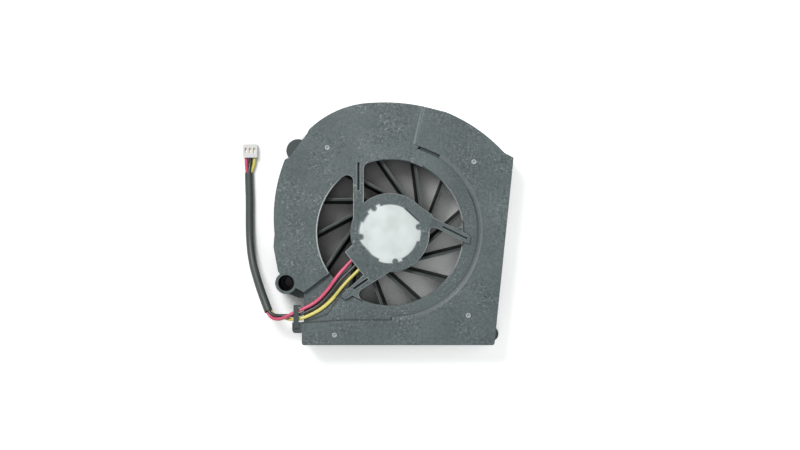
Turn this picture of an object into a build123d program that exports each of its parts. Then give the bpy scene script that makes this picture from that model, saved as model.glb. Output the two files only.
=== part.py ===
from build123d import *
import math
import os

# Notebook cooling fan: a flat centrifugal blower, drawn with its inlet side up.
# Z = 0 is the underside of the base plate and the Z axis is the rotor axis.
# Air enters round the hub plate and leaves through the slot on the +X side.

# Heights of the casing
total_height = 13.0
base_thickness = 0.5
top_wall = 2.1
plateau_drop = 0.4
inlet_zone_drop = 1.0
wire_recess_drop = 1.6
hub_plate = 1.2
strut_drop = 0.5

# Casing outline seen from above: four scroll arcs with straight sides between them
side_wall = 1.5
right_arc_centre = (-1.15, -8.02)
right_arc_radius = 46.4
right_arc_angles = (42.3, 68.0)
top_arc_centre = (-1.55, -16.11)
top_arc_radius = 53.9
top_arc_angles = (76.2, 93.7)
shoulder_arc_centre = (-4.15, 9.89)
shoulder_arc_radius = 27.85
shoulder_arc_angles = (91.7, 133.8)
left_arc_centre = (11.66, 4.41)
left_arc_radius = 45.4
left_arc_angles = (158.4, 186.0)
outlet_foot = (30.3, -32.7)
outlet_head = (35.9, 21.75)
lug_side = [(-24.0, 28.8), (-29.4, 21.75)]
boss_side = [(-33.8, -4.15), (-32.5, -11.2)]
cable_side_x = -25.1
cable_side_top = -17.3
corner_block_x = -25.6
corner_block_top = -26.4
foot_corner_radius = 0.7

# Air passage: blade tip gap at the tongue, and how much the scroll opens in one turn
tongue_gap = 2.4
tongue_angle = 314.0
scroll_growth = 3.1
scroll_back_angle = 210.0
scroll_link_angle = 197.0
scroll_link_radius = 31.2
tongue_radius = 1.2
outlet_foot_y = -26.2
outlet_head_y = 17.5
outlet_reach = 40.0

# Inlet, hub plate and the three struts that carry it
inlet_radius = 21.2
inlet_corner_radius = 1.8
edge_radius = 0.3
upper_inlet_edges = [(131.0, 213.0), (74.0, 107.0)]
lower_inlet_edges = [(10.0, 73.0), (-111.0, -11.0)]
hub_plate_radius = 11.5
strut_overlap = 2.2
strut_1_x = -9.15
strut_1_width = 3.04
strut_1_groove_y = (12.2, 20.4)
strut_2_start = (11.0, 3.8)
strut_2_angle = -26.0
strut_2_width = 2.3
strut_2_groove = (4.7, 12.7)
strut_2_root = [(8.2, 7.9), (12.2, 5.25), (13.2, 1.85), (10.6, 0.6)]
strut_2_slope = (1.2, 3.0)
strut_3_outline = [(-7.7, -12.3), (-21.6, -24.9), (-0.2, -11.45), (0.0, -6.0)]
strut_3_groove = ((-6.4, -13.4), (-10.6, -16.3))
groove_width = 0.7
groove_depth = 1.3
wire_mouth = [(-11.0, -3.6), (-13.05, -5.66), (-7.7, -12.3), (0.0, -6.0)]
wire_gate = ((-7.4, -6.7), (-12.3, -11.8))
wire_gate_width = 5.0

# Levels of the top face: ring step about the inlet, ramp, slot and the wire recess
ring_centre = (0.58, 0.73)
ring_radius = 25.5
ring_ramp = 1.6
ramp_top_x = 10.6
ramp_foot = (7.6, 25.4)
ramp_width = 1.0
ring_slope = 5.0
face_slot = ((8.1, 24.75), (14.4, 22.1))
face_slot_width = 1.0
face_slot_depth = 1.6
step_line = [(-13.3, -25.5), (-25.3, -26.3)]
recess_rim = [(-14.5, -9.3), (-27.5, -19.3), (-27.5, -26.9), (-18.3, -24.0), (-11.6, -14.9)]

# Screw boss, two low lugs and the cable hook on the casing's edge
boss_centre = (-30.16, -14.65)
boss_radius = 3.16
boss_bore_radius = 2.3
screw_hole_radius = 1.35
screw_seat = 3.0
boss_web_height = 8.0
boss_web = [(-31.6, -17.3), (-26.6, -19.2), (-24.0, -19.0), (-24.0, -14.0)]
lug_height = 3.0
lug_clearance = 0.1
upper_lug_centre = (-27.4, 24.26)
upper_lug_radius = 3.4
lower_lug_centre = (29.9, -30.06)
lower_lug_radius = 2.2
hook_bar_x = (-28.0, -26.5)
hook_bar_top = -21.0
hook_bar_height = 0.5
hook_tip_reach = 0.7
hook_tip_width = 0.6
hook_base = ((-28.4, -29.2), (-25.5, -26.2))
hook_base_depth = 3.5
hook_corner_radius = 1.0

# Rivets that hold the base plate to the casing
rivet_places = [(-18.24, 24.68), (24.36, 20.56), (22.68, -24.07), (-16.18, -29.78)]
rivet_radius = 0.78
rivet_bore_radius = 0.34
rivet_bore_depth = 0.4
rivet_head_radius = 1.35
rivet_head_height = 0.3
rivet_stand = 0.06
rivet_clearance = 0.03
rivet_post_radius = 1.7

# Motor disc in the hub plate: its edge is lobes and waists, each between two angles
disc_recess = 0.3
disc_thickness = 0.6
disc_clearance = 0.06
disc_lobe_radius = 8.9
disc_lobe_angles = [(-17.0, 20.0), (110.0, 137.0), (159.0, 197.0), (248.0, 294.0)]
disc_waist_radius = 8.2
disc_waist_angles = [(62.0, 110.0), (137.0, 159.0), (230.0, 248.0), (294.0, 343.0)]
stake_angles = [11.2, 123.7, 188.0, 280.4]
stake_circle_radius = 8.5
stake_radius = 0.8
disc_ledge_radius = 7.3

# Bearing and stator
shaft_radius = 1.0
shaft_dome_radius = 0.6
shaft_clearance = 0.02
bearing_radius = 2.3
fit_gap = 0.01
tube_wall = 0.7
tube_flange_radius = 4.2
tube_flange = 0.5
thrust_pad_thickness = 0.4
thrust_gap = 0.05
bush_gap = 1.2
core_ring = 1.4
core_teeth = 4
tooth_width = 2.4
pole_depth = 1.0
pole_span = 78.0
air_gap = 0.35
coil_build = 1.0
coil_corner_share = 0.9
coil_gap = 0.1
coil_floor_gap = 0.4
coil_board_gap = 1.5
former_sheet = 0.5

# Circuit board below the hub plate
board_thickness = 0.6
board_radius = 10.0
board_wire_gap = 0.05
wire_hub_clearance = 0.12
wire_floor_clearance = 0.03
wire_edge_lift = 0.12
chip_size = (4.4, 3.6)
chip_place = (5.8, 4.4)
chip_roof_gap = 0.07
capacitor_size = (1.6, 0.9)
capacitor_roof_gap = 0.27
capacitor_places = [(-7.4, 3.2), (-6.2, 5.4)]
solder_length = 1.2

# Rotor: impeller, steel yoke, ring magnet, bush, shaft and its keeper
impeller_radius = 27.0
blade_count = 13
blade_thickness = 0.9
blade_tip_radius = 0.4
blade_offset = 9.67
first_blade_angle = 235.5
cup_radius = 10.6
cup_wall = 0.8
cup_floor = 0.8
rotor_floor_gap = 0.6
board_rotor_gap = 0.5
blade_rise = 0.3
blade_foot = 0.2
yoke_sheet = 0.5
magnet_thickness = 1.4
magnet_top_gap = 0.7
bush_radius = 2.0
bush_height = 1.4
clip_radius = 1.8
clip_thickness = 0.3
clip_groove = 0.2
clip_gap = 0.15

# Cable: three wires in a sleeve, ending in a plug that lies on the table
wire_diameter = 1.0
sleeve_radius = 1.24
sleeve_wall = 0.11
bundle_radius = 0.62
bend_share = 0.45
plug_pitch = 1.25
plug_centre_x = -41.6
plug_back_y = 22.2
plug_length = 4.0
plug_height = 2.6
plug_side_wall = 0.85
plug_corner_radius = 0.2
contact_width = 0.6
contact_height = 0.5
contact_length = 2.6
window_length = 1.5

# Levels worked out from the sizes above
base_top = base_thickness
ceiling = total_height - top_wall
plateau_level = total_height - plateau_drop
inlet_zone_level = total_height - inlet_zone_drop
recess_level = total_height - wire_recess_drop
hub_underside = total_height - hub_plate
disc_top = total_height - disc_recess
disc_bottom = disc_top - disc_thickness
wire_radius = wire_diameter / 2
wire_hub_level = hub_underside - wire_hub_clearance - wire_radius
wire_casing_level = recess_level + wire_floor_clearance + wire_radius
board_top = wire_hub_level - wire_radius - board_wire_gap
board_bottom = board_top - board_thickness
cup_bottom = base_top + rotor_floor_gap
cup_top = board_bottom - board_rotor_gap
blade_bottom = cup_bottom + blade_foot
blade_top = cup_top + blade_rise
yoke_bottom = cup_bottom + cup_floor
yoke_floor = yoke_bottom + yoke_sheet
yoke_radius = cup_radius - cup_wall - fit_gap
yoke_top = cup_top - cup_wall / 2
magnet_radius = yoke_radius - yoke_sheet - fit_gap
magnet_top = yoke_top - magnet_top_gap
coil_bottom = yoke_floor + coil_floor_gap
coil_top = board_bottom - coil_board_gap
core_radius = magnet_radius - magnet_thickness - air_gap
core_bottom = coil_bottom + coil_build + former_sheet
core_top = coil_top - coil_build - former_sheet
tube_radius = bearing_radius + fit_gap + tube_wall
tube_top = disc_bottom
thrust_level = tube_top - thrust_pad_thickness
shaft_top = thrust_level - thrust_gap
bearing_top = shaft_top - clip_thickness - 2 * clip_gap - tube_flange
bearing_bottom = cup_bottom + bush_height + bush_gap
right_arc = (right_arc_centre, right_arc_radius, right_arc_angles)
top_arc = (top_arc_centre, top_arc_radius, top_arc_angles)
shoulder_arc = (shoulder_arc_centre, shoulder_arc_radius, shoulder_arc_angles)
left_arc = (left_arc_centre, left_arc_radius, left_arc_angles)
upper_lug = (upper_lug_centre, upper_lug_radius)
lower_lug = (lower_lug_centre, lower_lug_radius)


def polar(angle, radius):
    """Point at an angle in degrees and a radius about the rotor axis."""
    turn = math.radians(angle)
    return (radius * math.cos(turn), radius * math.sin(turn))


def plate(face, bottom, top):
    """A flat outline drawn up between two levels."""
    return extrude(Pos(0, 0, bottom) * face, amount=top - bottom, dir=(0, 0, 1))


def disc(radius, bottom, top, centre=(0, 0)):
    """A round post between two levels."""
    return plate(Pos(*centre) * Circle(radius), bottom, top)


def ring(outer, inner, bottom, top):
    """A plain round tube about the rotor axis."""
    return plate(Circle(outer) - Circle(inner), bottom, top)


def bar(start, end, width):
    """Flat rectangle of a given width along the line between two points."""
    length = math.dist(start, end)
    middle = ((start[0] + end[0]) / 2, (start[1] + end[1]) / 2)
    return Pos(*middle) * Rot(0, 0, angle_to(start, end)) * Rectangle(length, width)


def box_between(xs, ys, bottom, top):
    """Flat-sided block from its X range, Y range and two levels."""
    middle = ((xs[0] + xs[1]) / 2, (ys[0] + ys[1]) / 2)
    return plate(Pos(*middle) * Rectangle(xs[1] - xs[0], ys[1] - ys[0]), bottom, top)


def on_arc(arc, angle, inset):
    """Point on a scroll arc, moved towards the arc's centre by the inset."""
    (x, y), radius = arc[:2]
    dx, dy = polar(angle, radius - inset)
    return (x + dx, y + dy)


def scroll_arc(arc, inset, start=None):
    """One arc of the scroll wall, from its own first angle or from the arc before it."""
    first, last = arc[2]
    begin = start or on_arc(arc, first, inset)
    return ThreePointArc(begin, on_arc(arc, (first + last) / 2, inset), on_arc(arc, last, inset))


def casing_outline():
    """Outside of the casing at its top face, without boss, lugs and hook."""
    with BuildSketch() as sketch:
        with BuildLine():
            right = scroll_arc(right_arc, 0)
            top = scroll_arc(top_arc, 0)
            shoulder = scroll_arc(shoulder_arc, 0, start=top @ 1)
            left = scroll_arc(left_arc, 0)
            Polyline(outlet_foot, outlet_head, right @ 0)
            Line(right @ 1, top @ 0)
            Polyline(shoulder @ 1, *lug_side, left @ 0)
            Polyline(
                left @ 1,
                *boss_side,
                boss_centre,
                (cable_side_x, cable_side_top),
                (cable_side_x, corner_block_top),
                (corner_block_x, corner_block_top),
                (corner_block_x, outlet_foot[1]),
                outlet_foot,
            )
        make_face()
        feet = [(corner_block_x, outlet_foot[1]), outlet_foot]
        fillet([sketch.vertices().sort_by_distance(foot)[0] for foot in feet], foot_corner_radius)
    return sketch.sketch


def scroll_radius(angle):
    """Radius of the air passage where it widens slowly from the tongue round the bottom."""
    return impeller_radius + tongue_gap + scroll_growth * (tongue_angle - angle) / 360


def air_passage():
    """Inside of the scroll: a spiral from the tongue, the offset scroll arcs and the outlet."""
    tongue = polar(tongue_angle, scroll_radius(tongue_angle))
    back = polar(scroll_back_angle, scroll_radius(scroll_back_angle))
    half_way = (tongue_angle + scroll_back_angle) / 2
    with BuildSketch() as sketch:
        with BuildLine():
            right = scroll_arc(right_arc, side_wall)
            top = scroll_arc(top_arc, side_wall)
            shoulder = scroll_arc(shoulder_arc, side_wall, start=top @ 1)
            left = scroll_arc(left_arc, side_wall)
            Line(right @ 1, top @ 0)
            Line(shoulder @ 1, left @ 0)
            ThreePointArc(left @ 1, polar(scroll_link_angle, scroll_link_radius), back)
            ThreePointArc(back, polar(half_way, scroll_radius(half_way)), tongue)
            Polyline(
                tongue,
                (outlet_reach, outlet_foot_y),
                (outlet_reach, outlet_head_y),
                right @ 0,
            )
        make_face()
        nose = sketch.vertices().sort_by_distance(tongue)[0]
        fillet(nose, tongue_radius)
    return sketch.sketch


def along_strut_2(distance):
    """Point on the middle line of the second strut."""
    dx, dy = polar(strut_2_angle, distance)
    return (strut_2_start[0] + dx, strut_2_start[1] + dy)


def polygon(corners):
    """Flat face with straight sides."""
    return make_face(Polyline(*corners, close=True))


def upright(origin, angle):
    """Vertical plane through a point, with its X along an angle in the top view and its Y up."""
    return Plane(origin=(*origin, 0), x_dir=(*polar(angle, 1), 0), z_dir=(*polar(angle - 90, 1), 0))


def angle_to(start, end):
    """Angle in the top view of the line from one point to another, in degrees."""
    return math.degrees(math.atan2(end[1] - start[1], end[0] - start[0]))


def spider_outline():
    """Hub plate, its three struts up to the ring about the inlet, and the edge over the wires."""
    far = 2 * inlet_radius
    arms = bar((strut_1_x, 0), (strut_1_x, far), strut_1_width)
    arms += bar(strut_2_start, along_strut_2(far), strut_2_width)
    arms += polygon(strut_3_outline)
    arms &= Circle(inlet_radius + strut_overlap)
    return Circle(hub_plate_radius) + arms + polygon(strut_2_root) + polygon(wire_mouth)


def inlet_gaps():
    """The three open windows between the inlet edge, the hub plate and the struts."""
    gaps = Circle(inlet_radius) - spider_outline()
    outer_corners = [v for v in gaps.vertices() if math.hypot(v.X, v.Y) > inlet_radius - fit_gap]
    gaps = fillet(outer_corners, inlet_corner_radius)
    return gaps


def disc_outline(clearance):
    """Castellated edge of the motor disc: stepped arcs joined by short straight lines."""
    edge = [(*angles, disc_lobe_radius + clearance) for angles in disc_lobe_angles]
    edge += [(*angles, disc_waist_radius + clearance) for angles in disc_waist_angles]
    edge.sort()
    with BuildSketch() as sketch:
        with BuildLine():
            last = polar(*edge[-1][1:])
            for first_angle, last_angle, reach in edge:
                start = polar(first_angle, reach)
                Line(last, start)
                last = polar(last_angle, reach)
                ThreePointArc(start, polar((first_angle + last_angle) / 2, reach), last)
        make_face()
    return sketch.sketch


def stakes(clearance):
    """Round moulded pegs that stand in half-round notches of the disc's edge."""
    pegs = [Pos(*polar(a, stake_circle_radius)) * Circle(stake_radius + clearance) for a in stake_angles]
    return Sketch() + pegs


def top_levels():
    """What is cut from the flat top: the lower plateau, the zone about the inlet and the slot."""
    beyond = 2 * outlet_reach
    ramp_head = (ramp_top_x, top_arc_centre[1] + top_arc_radius)
    plateau = polygon(
        [
            ramp_head,
            ramp_foot,
            ring_centre,
            (ring_centre[0], step_line[0][1]),
            *step_line,
            (-beyond, step_line[1][1]),
            (-beyond, -beyond),
            (beyond, -beyond),
            (beyond, ramp_head[1]),
        ]
    )
    plateau -= Pos(*ring_centre) * Circle(ring_radius)
    cut = plate(plateau, plateau_level, total_height + top_wall)
    slope = polygon([(0, plateau_level), (-ramp_width, total_height), (0, total_height)])
    across = upright(ramp_head, angle_to(ramp_foot, ramp_head) - 90)
    cut += extrude(across * slope, amount=math.dist(ramp_foot, ramp_head))

    profile = polygon(
        [
            (0, inlet_zone_level),
            (ring_radius - ring_ramp / 2, inlet_zone_level),
            (ring_radius + ring_ramp / 2, plateau_level),
            (ring_radius + ring_ramp / 2, total_height + top_wall),
            (0, total_height + top_wall),
        ]
    )
    start = angle_to(ring_centre, ramp_foot)
    slope_angle = math.degrees(math.asin(ring_slope / inlet_radius))
    sector = revolve(Plane.XZ * profile, Axis.Z, revolution_arc=start - slope_angle + 90)
    cut += Pos(*ring_centre) * Rot(0, 0, -90) * sector

    slope_end = ring_slope * ring_radius / inlet_radius
    slope = polygon(
        [
            (0, total_height),
            (ring_slope, inlet_zone_level),
            (slope_end, inlet_zone_level),
            (slope_end, total_height),
        ]
    )
    across = upright(ring_centre, start - 90)
    cut += extrude(across * slope, amount=ring_ramp / 2 - ring_radius)

    below_wires = polygon(
        [
            ring_centre,
            (ring_centre[0], step_line[0][1]),
            *step_line,
            recess_rim[2],
            recess_rim[1],
            recess_rim[0],
        ]
    )
    cut += plate(below_wires, inlet_zone_level, total_height + top_wall)

    cut += plate(bar(*face_slot, face_slot_width), total_height - face_slot_depth, total_height)
    return cut


def wire_recess():
    """Trough in the top face for the wires."""
    return plate(polygon(recess_rim), recess_level, total_height)


def spider():
    """Hub plate and struts, with the corners where the struts meet the inlet edge."""
    frame_ring = plate(Circle(ring_radius) - inlet_gaps(), ceiling, total_height)
    reach = Circle(inlet_radius) + spider_outline()
    return frame_ring & plate(reach, ceiling, total_height)


def radius_of(edge):
    """Distance of an edge's middle from the rotor axis."""
    middle = edge @ 0.5
    return math.hypot(middle.X, middle.Y)


def strut_2_relief():
    """What is cut over the second strut, which slopes down from the hub plate to a lower top."""
    slope_head, slope_foot = strut_2_slope
    end = 2 * inlet_radius
    low = total_height - strut_drop
    side = polygon([(slope_head, total_height), (slope_foot, low), (end, low), (end, total_height)])
    beside = upright(strut_2_start, strut_2_angle)
    return extrude(beside * side, amount=strut_2_width / 2 + groove_width, both=True)


def volute_housing():
    """Moulded casing: scroll wall, top with inlet, hub plate on struts, boss, lugs and hook."""
    casing = plate(casing_outline(), base_top, total_height)
    casing -= plate(air_passage(), base_top, ceiling)
    casing -= top_levels()
    casing -= plate(Circle(inlet_radius), ceiling, total_height)
    casing += spider() - strut_2_relief()
    casing -= wire_recess()
    casing -= disc(hub_plate_radius - groove_width, ceiling, hub_underside)
    casing -= plate(bar(*wire_gate, wire_gate_width), ceiling, hub_underside)

    pocket = disc_outline(disc_clearance) - stakes(0)
    casing -= plate(pocket, disc_bottom, total_height)
    casing -= disc(disc_ledge_radius, hub_underside, disc_bottom)

    groove_floor = total_height - groove_depth
    groove_1 = [(strut_1_x, y) for y in strut_1_groove_y]
    groove_2 = [along_strut_2(d) for d in strut_2_groove]
    for line in (groove_1, groove_2, strut_3_groove):
        casing -= plate(bar(*line, groove_width), groove_floor, total_height)

    casing += disc(boss_radius, 0, total_height, boss_centre)
    casing += plate(polygon(boss_web), base_top, boss_web_height)
    casing -= disc(boss_bore_radius, screw_seat, total_height, boss_centre)
    casing -= disc(screw_hole_radius, 0, screw_seat, boss_centre)
    for centre, radius in (upper_lug, lower_lug):
        casing += disc(radius, 0, lug_height, centre) - plate(air_passage(), base_top, lug_height)
    for place in rivet_places:
        casing += disc(rivet_post_radius, base_top, plateau_level, place)
        casing -= disc(rivet_radius + rivet_clearance, base_top, total_height, place)
    casing = fillet(hub_plate_arcs(casing), edge_radius)
    for angles in upper_inlet_edges:
        casing -= inlet_chamfer(angles, total_height)
    for angles in lower_inlet_edges:
        casing -= inlet_chamfer(angles, inlet_zone_level)
    return casing + cable_hook()


def hub_plate_arcs(casing):
    """The long arcs of the hub plate's edge at the top face."""
    arcs = [e for e in casing.edges().filter_by(GeomType.CIRCLE) if (e @ 0.5).Z > hub_underside]
    edge = [e for e in arcs if abs(radius_of(e) - hub_plate_radius) < fit_gap]
    return [e for e in edge if e.length > hub_plate_radius / 2]


def inlet_chamfer(angles, level):
    """Turned cut that breaks the inlet's edge between two angles, at one level of the top face."""
    inside = inlet_radius - edge_radius
    section = polygon(
        [
            (inside, level - 2 * edge_radius),
            (inlet_radius + 2 * edge_radius, level + edge_radius),
            (inside, level + edge_radius),
        ]
    )
    turned = revolve(Plane.XZ * section, Axis.Z, revolution_arc=angles[1] - angles[0])
    return Rot(0, 0, angles[0]) * turned


def cable_hook():
    """Block at the casing's corner with a thin bar that lies over the wires."""
    (left, bottom), (right, top) = hook_base
    base = Pos((left + right) / 2, (bottom + top) / 2) * Rectangle(right - left, top - bottom)
    outer = [v for v in base.vertices() if v.X < (left + right) / 2 and v.Y < (bottom + top) / 2]
    base = fillet(outer, hook_corner_radius)
    hook = plate(base, plateau_level - hook_base_depth, plateau_level)
    bar_bottom = total_height - hook_bar_height
    hook += box_between(hook_bar_x, (top, hook_bar_top), bar_bottom, total_height)
    tip_x = (hook_bar_x[1], hook_bar_x[1] + hook_tip_reach)
    hook += box_between(tip_x, (hook_bar_top - hook_tip_width, hook_bar_top), bar_bottom, total_height)
    return hook + box_between(hook_bar_x, ((bottom + top) / 2, top), plateau_level, total_height)


def base_plate():
    """Sheet metal floor, cut clear of the boss and lugs and countersunk for the rivets."""
    outline = casing_outline()
    for centre, radius in ((boss_centre, boss_radius), upper_lug, lower_lug):
        outline -= Pos(*centre) * Circle(radius + lug_clearance)
    sheet = plate(outline, 0, base_top)
    for place in rivet_places:
        sheet -= disc(rivet_radius + rivet_clearance, 0, base_top, place)
        sheet -= disc(rivet_head_radius + rivet_clearance, 0, rivet_head_height, place)
    return sheet.solids().sort_by(SortBy.VOLUME)[-1]


def cover_rivets():
    """Four rivets: a flat head under the base plate and a dimpled end at the top face."""
    rivets = []
    for x, y in rivet_places:
        face_level = total_height if y > 0 and x < 0 else plateau_level
        end_level = face_level + rivet_stand
        rivet = disc(rivet_head_radius, 0, rivet_head_height, (x, y))
        rivet += disc(rivet_radius, 0, end_level, (x, y))
        rivet -= disc(rivet_bore_radius, end_level - rivet_bore_depth, end_level, (x, y))
        rivets.append(rivet)
    return Compound(children=rivets)


def motor_base():
    """Stamped disc that closes the hub plate and carries the bearing tube."""
    return plate(disc_outline(0) - stakes(disc_clearance), disc_bottom, disc_top)


def bearing_tube():
    """Brass tube with a flange staked under the motor disc."""
    tube = ring(tube_radius, bearing_radius + fit_gap, bearing_bottom, tube_top)
    return tube + ring(tube_flange_radius, bearing_radius + fit_gap, tube_top - tube_flange, tube_top)


def sleeve_bearing():
    """Sintered sleeve in the tube, chamfered at both ends of its bore."""
    sleeve = ring(bearing_radius, shaft_radius + shaft_clearance, bearing_bottom, bearing_top)
    bore_edges = sleeve.edges().filter_by(GeomType.CIRCLE).sort_by(lambda e: e.radius)[:2]
    return chamfer(bore_edges, tube_wall / 4)


def thrust_pad():
    """Wear pad at the closed end of the tube, against the shaft's rounded tip."""
    return disc(bearing_radius - fit_gap, thrust_level, tube_top)


def tooth_pattern(shape):
    """The same shape at each stator tooth."""
    return [Rot(0, 0, 360 / core_teeth * n) * shape for n in range(core_teeth)]


def core_outline():
    """Ring and teeth of the stator lamination, which the two formers cover as well."""
    inner = tube_radius + fit_gap
    outline = Circle(inner + core_ring)
    outline += tooth_pattern(bar((0, 0), (core_radius - pole_depth / 2, 0), tooth_width))
    return outline - Circle(inner)


def pole_shoes():
    """Arc-shaped ends of the stator teeth."""
    half = pole_span / 2
    inner = core_radius - pole_depth
    with BuildSketch() as sketch:
        with BuildLine():
            outer_arc = ThreePointArc(polar(-half, core_radius), (core_radius, 0), polar(half, core_radius))
            inner_arc = ThreePointArc(polar(half, inner), (inner, 0), polar(-half, inner))
            Line(outer_arc @ 1, inner_arc @ 0)
            Line(inner_arc @ 1, outer_arc @ 0)
        make_face()
    return Sketch() + tooth_pattern(sketch.sketch)


def stator_core():
    """Stack of steel laminations on the bearing tube."""
    return plate(core_outline() + pole_shoes(), core_bottom, core_top)


def lower_coil_former():
    """Insulator below the core."""
    return plate(core_outline(), core_bottom - former_sheet, core_bottom)


def upper_coil_former():
    """Insulator above the core, with pegs up to the circuit board."""
    former = plate(core_outline(), core_top, core_top + former_sheet)
    peg_circle = tube_radius + fit_gap + core_ring / 2
    for n in range(core_teeth):
        former += disc(core_ring / 3, core_top, board_bottom, polar(360 / core_teeth * (n + 0.5), peg_circle))
    return former


def stator_coils():
    """Copper winding round each tooth, between the core ring and the pole shoe."""
    start = tube_radius + fit_gap + core_ring + coil_gap
    half_width = tooth_width / 2 + coil_build
    end = math.sqrt((core_radius - pole_depth) ** 2 - half_width ** 2) - coil_gap
    inside = core_top - core_bottom + 2 * former_sheet + 2 * fit_gap
    section = RectangleRounded(2 * half_width, coil_top - coil_bottom, coil_build * coil_corner_share)
    section -= Rectangle(tooth_width + 2 * fit_gap, inside)
    middle = (coil_bottom + coil_top) / 2
    facing = Plane(origin=(start, 0, middle), x_dir=(0, 1, 0), z_dir=(1, 0, 0))
    coil = extrude(facing * section, amount=end - start)
    return Compound(children=tooth_pattern(coil))


def motor_board():
    """Round circuit board that rests on the upper former's pegs."""
    return ring(board_radius, tube_flange_radius + coil_gap, board_bottom, board_top)


def board_block(size, place, roof_gap):
    """Small component on the board, with a gap to the hub plate above it."""
    return plate(Pos(*place) * Rectangle(*size), board_top, hub_underside - roof_gap)


def driver_chip():
    """Motor driver with its field sensor, on top of the board."""
    return board_block(chip_size, chip_place, chip_roof_gap)


def board_capacitors():
    """Two small capacitors on top of the board."""
    blocks = [board_block(capacitor_size, place, capacitor_roof_gap) for place in capacitor_places]
    return Compound(children=blocks)


def blade():
    """One straight blade, tangent to a circle just inside the cup."""
    root = math.sqrt((cup_radius - cup_wall / 2) ** 2 - blade_offset ** 2)
    tip = math.sqrt(impeller_radius ** 2 - blade_offset ** 2)
    outline = Pos((root + tip) / 2, -blade_offset) * Rectangle(tip - root, blade_thickness)
    corners = [v for v in outline.vertices() if v.X > root + blade_thickness]
    outline = fillet(corners, blade_tip_radius)
    return plate(outline, blade_bottom, blade_top)


def impeller():
    """Moulded cup with thirteen straight blades swept back from the direction of turning."""
    wheel = disc(cup_radius, cup_bottom, cup_top)
    for n in range(blade_count):
        wheel += Rot(0, 0, first_blade_angle - 360 / blade_count * n) * blade()
    wheel -= disc(cup_radius - cup_wall, yoke_bottom, blade_top)
    return wheel - disc(bush_radius + fit_gap, cup_bottom, yoke_bottom)


def rotor_yoke():
    """Drawn steel cup moulded into the impeller."""
    cup = disc(yoke_radius, yoke_bottom, yoke_top)
    cup -= disc(yoke_radius - yoke_sheet, yoke_floor, yoke_top)
    return cup - disc(bush_radius + fit_gap, yoke_bottom, yoke_floor)


def ring_magnet():
    """Bonded magnet ring inside the yoke."""
    return ring(magnet_radius, magnet_radius - magnet_thickness, yoke_floor, magnet_top)


def rotor_bush():
    """Brass bush that joins the cup, the yoke and the shaft."""
    return ring(bush_radius, shaft_radius + fit_gap, cup_bottom, cup_bottom + bush_height)


def rotor_shaft():
    """Ground steel shaft with a domed tip and a groove for its keeper."""
    shaft = disc(shaft_radius, cup_bottom, shaft_top)
    tip = shaft.edges().filter_by(GeomType.CIRCLE).sort_by(Axis.Z)[-1]
    shaft = fillet(tip, shaft_dome_radius)
    bottom = bearing_top + clip_gap
    return shaft - ring(2 * shaft_radius, shaft_radius - clip_groove, bottom, bottom + clip_thickness)


def shaft_clip():
    """Split washer in the shaft's groove that keeps the rotor from falling out."""
    bottom = bearing_top + clip_gap
    top = bottom + clip_thickness
    washer = ring(clip_radius, shaft_radius - clip_groove + fit_gap, bottom, top)
    return washer - box_between((0, clip_radius), (-clip_groove, clip_groove), bottom, top)


# Route of the sleeve's centre line from the wires' turn to the plug
sleeve_route = [
    (-35.5, -23.0, 9.4),
    (-37.0, -19.6, 8.0),
    (-39.1, -14.2, 5.4),
    (-40.9, -8.5, 3.0),
    (-41.7, -2.4, 1.6),
    (-41.85, 3.6, 1.25),
    (-41.8, 9.6, 1.25),
    (-42.0, 15.0, 1.25),
    (-42.05, 17.8, 1.25),
]

# Free part of each wire, from its solder joint over the casing and past the hook
wire_starts = {
    "red_wire": [
        (-8.1, -5.0, wire_hub_level),
        (-11.8, -8.7, wire_hub_level),
        (-15.4, -12.6, wire_casing_level + wire_edge_lift),
        (-17.7, -16.2, wire_casing_level),
        (-21.2, -20.0, wire_casing_level),
        (-24.4, -21.8, wire_casing_level),
        (-27.4, -23.0, wire_casing_level),
        (-29.9, -24.35, 12.05),
        (-32.3, -25.4, 11.0),
        (-34.6, -25.0, 9.85),
    ],
    "black_wire": [
        (-6.95, -6.3, wire_hub_level),
        (-10.5, -10.0, wire_hub_level),
        (-14.4, -13.75, wire_casing_level + wire_edge_lift),
        (-17.1, -17.5, wire_casing_level),
        (-20.6, -21.2, wire_casing_level),
        (-24.0, -23.0, wire_casing_level + wire_edge_lift),
        (-27.3, -24.25, wire_casing_level - 2 * wire_edge_lift),
        (-29.5, -24.2, 10.45),
        (-31.8, -24.3, 10.3),
        (-34.0, -24.15, 10.4),
    ],
    "yellow_wire": [
        (-5.8, -7.5, wire_hub_level),
        (-9.3, -11.1, wire_hub_level),
        (-13.2, -14.85, wire_casing_level + wire_edge_lift),
        (-16.5, -19.1, wire_casing_level),
        (-20.0, -22.2, wire_casing_level),
        (-23.3, -24.0, wire_casing_level),
        (-26.6, -25.3, wire_casing_level),
        (-29.0, -25.4, 10.7),
        (-31.2, -24.9, 9.4),
        (-33.8, -24.5, 9.15),
    ],
}

# Place of each wire in the sleeve, as an angle in its section, and its way of the plug
bundle_angles = {"red_wire": 210.0, "black_wire": 90.0, "yellow_wire": 330.0}
plug_ways = {"red_wire": -1, "black_wire": 0, "yellow_wire": 1}
plug_lead = 1.9


def beside_sleeve(index, angle):
    """Point of a wire inside the sleeve, beside the sleeve's own point."""
    before = Vector(sleeve_route[max(index - 1, 0)])
    after = Vector(sleeve_route[min(index + 1, len(sleeve_route) - 1)])
    along = after - before
    side = Vector(along.Y, -along.X, 0).normalized()
    sideways, up = polar(angle, bundle_radius)
    point = Vector(sleeve_route[index]) + side * sideways + Vector(0, 0, up)
    return tuple(point)


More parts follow.
